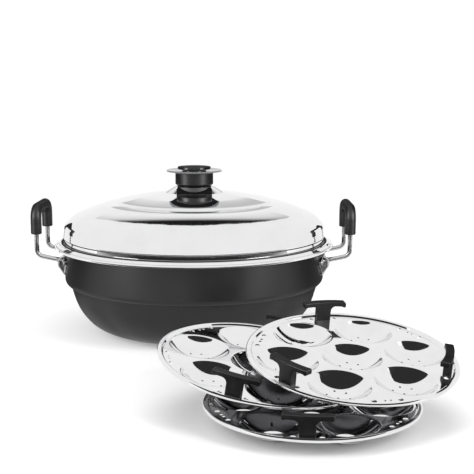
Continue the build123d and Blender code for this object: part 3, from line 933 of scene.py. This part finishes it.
@dataclass
class Studio:
    """The photographic studio: camera, white floor, pale surroundings, softboxes, a rear lamp and dark cards.

    Each lamp and card is linked to the pieces that it was set up for, because the lid, the plates and the pot
    mirror different surroundings in the photograph.

    Attributes:
        camera_place: Where the camera stands.
        camera_yaw: Its turn to the right in degrees.
        camera_pitch: How far it looks down in degrees.
        camera_roll: Its roll in degrees.
        sensor: Width of its sensor.
        focal_pixels: Focal length in pixels of the photograph.
        picture_pixels: Width of the photograph in pixels.
        view_depth: Distance to which the camera sees.
        floor_size: Side of the floor.
        lit_floor: Radius beyond which the floor is plain white.
        lit_share: Share of that radius within which it is all lit paper.
        floor_glow: Light that the lit floor gives off, which lifts its tone to the background's.
        ambient: Strength of the surroundings' light on rough surfaces.
        mirrored_tone: Strength at which mirrors show the surroundings.
        softbox_bearing: Angle of a softbox from the camera's direction in degrees.
        softbox_distance: Distance of a softbox from the pot's axis.
        softbox_size: Width and height of a softbox.
        softbox_power: Power in watts of the softboxes for the dark pieces, the handles and the floor.
        mirrored_softbox_power: Power in watts of those that the plates mirror.
        rear_lamp_place: Where the rear lamp stands.
        rear_lamp_size: Side of the rear lamp.
        rear_lamp_power: Its power in watts.
    """

    camera_place: Point = (45.19, -980.97, 245.81)
    camera_yaw: float = -0.120
    camera_pitch: float = 8.949
    camera_roll: float = 0.065
    sensor: float = 36.0
    focal_pixels: float = 976.1
    picture_pixels: float = 474.0
    view_depth: float = 50000.0
    floor_size: float = 9000.0
    lit_floor: float = 800.0
    lit_share: float = 0.6
    floor_glow: float = 0.02
    ambient: float = 0.8
    mirrored_tone: float = 0.98
    softbox_bearing: float = 56.0
    softbox_distance: float = 1800.0
    softbox_size: Pair = (700.0, 1800.0)
    softbox_power: float = 34.0
    mirrored_softbox_power: float = 0.9
    rear_lamp_place: Point = (120.0, 1400.0, 2000.0)
    rear_lamp_size: float = 1600.0
    rear_lamp_power: float = 27.0

    def build(self) -> None:
        """Sets up the camera, the floor and the surroundings."""
        bpy.context.scene.view_settings.view_transform = "Standard"
        self.add_camera()
        self.add_floor()
        self.add_surroundings()

    def add_camera(self) -> None:
        """Puts the camera where the photograph was taken from."""
        data = bpy.data.cameras.new("camera")
        data.sensor_width = self.sensor
        data.lens = self.sensor * self.focal_pixels / self.picture_pixels
        data.clip_end = mm(self.view_depth)
        heading = Matrix.Rotation(-math.radians(self.camera_yaw), 4, "Z")
        pitch = Matrix.Rotation(math.pi / 2 - math.radians(self.camera_pitch), 4, "X")
        roll = Matrix.Rotation(math.radians(self.camera_roll), 4, "Z")
        camera = new_object("camera", data)
        camera.matrix_world = Matrix.Translation(mm_point(self.camera_place)) @ heading @ pitch @ roll
        bpy.context.scene.camera = camera

    def add_floor(self) -> None:
        """Adds the white floor, which takes the object's shadow near it and is plain white further out."""
        bm = bmesh.new()
        bmesh.ops.create_grid(bm, x_segments=1, y_segments=1, size=mm(self.floor_size) / 2)
        floor = new_object("floor", mesh_from(bm, "floor"))
        material = bpy.data.materials.new("paper_white_matt")
        material.use_nodes = True
        tree = material.node_tree
        tree.nodes.clear()
        place = add_node(tree, "TexCoord").outputs["Object"]
        reach = add_node(tree, "VectorMath", links={0: place}, operation="LENGTH").outputs["Value"]
        fade = remapped(tree, reach, (mm(self.lit_floor * self.lit_share), mm(self.lit_floor)),
                        interpolation_type="SMOOTHSTEP")
        paper = add_node(tree, "BsdfDiffuse", {"Color": linear("#E8E8E8")})
        glow = white_light(tree, "Emission", self.floor_glow)
        near = add_node(tree, "AddShader", links={0: paper.outputs[0], 1: glow})
        path = add_node(tree, "LightPath")
        seen = any_of(tree, path, ("Is Camera Ray", "Is Glossy Ray", "Is Transmission Ray"))
        share = add_node(tree, "Math", links={0: fade, 1: seen}, operation="MULTIPLY")
        mix = add_node(tree, "MixShader", links={0: share.outputs[0], 1: near.outputs[0],
                                                 2: white_light(tree, "Emission", 1.0)})
        add_node(tree, "OutputMaterial", links={"Surface": mix.outputs[0]})
        floor.data.materials.append(material)

    def add_surroundings(self) -> None:
        """Adds pale surroundings: white in view and nearly white in reflections."""
        world = bpy.data.worlds.new("studio")
        bpy.context.scene.world = world
        world.use_nodes = True
        tree = world.node_tree
        tree.nodes.clear()
        path = add_node(tree, "LightPath")
        glossy = any_of(tree, path, ("Is Glossy Ray", "Is Transmission Ray"))
        reflected = add_node(tree, "MixShader", links={0: glossy, 1: white_light(tree, "Background", self.ambient),
                                                       2: white_light(tree, "Background", self.mirrored_tone)})
        mix = add_node(tree, "MixShader", links={0: path.outputs["Is Camera Ray"], 1: reflected.outputs[0],
                                                 2: white_light(tree, "Background", 1.0)})
        add_node(tree, "OutputWorld", links={"Surface": mix.outputs[0]})

    def light(self, nodes: dict[str, bpy.types.Object], lid: bpy.types.Object,
              plates: list[bpy.types.Object]) -> None:
        """Adds lamps and cards, each for the pieces that it was set up for.

        Args:
            nodes: CAD objects by node name.
            lid: The lid's sheet.
            plates: The three plates' sheets.
        """
        disc, floor = nodes["knob_disc"], bpy.data.objects["floor"]
        handles = [node for name, node in nodes.items() if name.startswith(("handle_wire", "bracket"))]
        stands = [node for name, node in nodes.items() if name.startswith("stand")]
        bare = [*handles, disc]
        dark = [node for node in nodes.values() if node not in bare]
        self.add_flag(FLAG_OVER_PLATES, [lid, *dark])
        self.add_flag(FLAG_BEHIND_LID, [*plates, *dark])
        self.add_flag(FLAG_BEHIND_CROWN, [*plates, *dark])
        self.add_flag(FLAG_AT_BACK, [lid, *plates, *bare])
        self.add_flag(FLAG_ON_FLOOR, [*plates, nodes["pot_body"]])
        self.add_flag(FLAG_UNDER_DISC, [*plates, *nodes.values()])
        for flag in (*FLAGS_AT_SIDES, FLAG_ON_FLOOR_BEHIND):
            self.add_flag(flag, [lid, *plates, *bare])
        self.add_rear_lamp(floor, [*plates, *stands])
        for side, word in ((-1, "left"), (1, "right")):
            self.add_softbox(f"softbox_{word}", side, self.softbox_power, [*dark, *handles, floor])
            self.add_softbox(f"mirrored_softbox_{word}", side, self.mirrored_softbox_power, plates)

    def add_flag(self, flag: Flag, lit: list[bpy.types.Object]) -> None:
        """Adds a card that only reflections show: dark, but as white as the surroundings to some pieces.

        Args:
            flag: The card.
            lit: Pieces that see the card as a part of the white surroundings.
        """
        bm = bmesh.new()
        bm.faces.new([bm.verts.new(mm_point(corner)) for corner in flag.corners])
        card = new_object(flag.name, mesh_from(bm, flag.name))
        card.visible_camera = card.visible_diffuse = card.visible_shadow = card.visible_transmission = False
        cloth = bpy.data.materials.new(f"{flag.name}_cloth")
        cloth.use_nodes = True
        cloth.cycles.emission_sampling = "NONE"
        tree = cloth.node_tree
        tree.nodes.clear()
        clear = add_node(tree, "BsdfTransparent")
        mix = add_node(tree, "MixShader", links={0: self.card_density(tree, flag), 1: clear.outputs[0],
                                                 2: white_light(tree, "Emission", self.mirrored_tone)})
        add_node(tree, "OutputMaterial", links={"Surface": mix.outputs[0]})
        card.data.materials.append(cloth)
        card.light_linking.receiver_collection = self.linked(flag.name, lit)

    def card_density(self, tree: bpy.types.NodeTree, flag: Flag) -> bpy.types.NodeSocket:
        """Adds the nodes that read a card's density from its stops.

        Args:
            tree: Node tree of the card's material.
            flag: The card.

        Returns:
            The density.
        """
        farthest = flag.density[-1][0]
        place = add_node(tree, "TexCoord").outputs["Object"]
        away = add_node(tree, "VectorMath", {1: mm_point(flag.middle)}, {0: place}, operation="SUBTRACT")
        squeezed = add_node(tree, "VectorMath", {1: flag.squeeze}, {0: away.outputs[0]}, operation="MULTIPLY")
        reach = add_node(tree, "VectorMath", links={0: squeezed.outputs[0]}, operation="LENGTH")
        share = remapped(tree, reach.outputs["Value"], (0.0, mm(farthest)))
        ramp = add_node(tree, "ValToRGB", links={"Fac": share})
        stops = ramp.color_ramp.elements
        stops.remove(stops[0])
        for number, (radius, density) in enumerate(flag.density):
            stop = stops.new(radius / farthest) if number else stops[0]
            stop.position = radius / farthest
            stop.color = (density, density, density, 1.0)
        return ramp.outputs["Color"]

    def linked(self, name: str, pieces: list[bpy.types.Object]) -> bpy.types.Collection:
        """Makes the collection of pieces that a lamp or card is linked to.

        Args:
            name: Name of the lamp or card.
            pieces: The pieces.

        Returns:
            The collection.
        """
        group = bpy.data.collections.new(f"{name}_lights")
        for piece in pieces:
            group.objects.link(piece)
        return group

    def add_lamp(self, name: str, place: Vector, aim: Vector, size: Pair, power: float,
                 lit: list[bpy.types.Object]) -> bpy.types.Object:
        """Adds a rectangular lamp that the camera doesn't see.

        Args:
            name: Name of the lamp.
            place: Its middle in metres.
            aim: Direction in which it shines.
            size: Its width and height in millimetres.
            power: Power in watts.
            lit: Pieces that it lights.

        Returns:
            The lamp.
        """
        data = bpy.data.lights.new(name, "AREA")
        data.shape = "RECTANGLE"
        data.size, data.size_y = (mm(value) for value in size)
        data.energy = power
        lamp = new_object(name, data)
        lamp.location = place
        lamp.rotation_euler = aim.to_track_quat("-Z", "Y").to_euler()
        lamp.visible_camera = False
        lamp.light_linking.receiver_collection = self.linked(name, lit)
        return lamp

    def add_softbox(self, name: str, side: int, power: float, lit: list[bpy.types.Object]) -> None:
        """Adds a tall softbox to the left or right of the camera, standing on the floor.

        Args:
            name: Name of the lamp.
            side: Minus one for the left and one for the right.
            power: Power in watts.
            lit: Pieces that it lights.
        """
        bearing = math.radians(self.softbox_bearing) * side
        away = Vector((math.sin(bearing), -math.cos(bearing), 0.0)) * mm(self.softbox_distance)
        middle = away + Vector((0, 0, mm(self.softbox_size[1] / 2)))
        self.add_lamp(name, middle, -away, self.softbox_size, power, lit)

    def add_rear_lamp(self, floor: bpy.types.Object, shading: list[bpy.types.Object]) -> None:
        """Adds a lamp high at the back, whose light on the floor only the pile of plates keeps off.

        Args:
            floor: The floor, which is all that it lights.
            shading: Pieces that cast its shadow.
        """
        place = mm_point(self.rear_lamp_place)
        size = (self.rear_lamp_size, self.rear_lamp_size)
        lamp = self.add_lamp("rear_lamp", place, -place, size, self.rear_lamp_power, [floor])
        lamp.visible_glossy = False
        lamp.light_linking.blocker_collection = self.linked("rear_lamp_shading", shading)


PLATES = (
    IdliPlate(Level.LOWER, centre=(99.39, -285.04, 11.9), lean_forward=0.0, lean_right=0.0, turn=-96.5),
    IdliPlate(Level.MIDDLE, centre=(62.45, -253.13, 33.4), lean_forward=5.86, lean_right=8.68, turn=-106.5),
    IdliPlate(Level.UPPER, centre=(131.26, -261.55, 41.0), lean_forward=9.16, lean_right=3.25, turn=-135.75),
)


def main() -> None:
    """Builds the object's looks in order."""
    logging.basicConfig(level=logging.INFO, format="%(name)s: %(message)s")
    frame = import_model()
    studio = Studio()
    studio.build()
    slots = {part["node"]: Slot(part["material_slot"]) for part in frame["record"]["subparts"]}
    Dressing(slots).dress(frame["nodes"])
    lid = LidShell().build()
    plates = [plate.build() for plate in PLATES]
    studio.light(frame["nodes"], lid, plates)


if __name__ == "__main__":
    main()
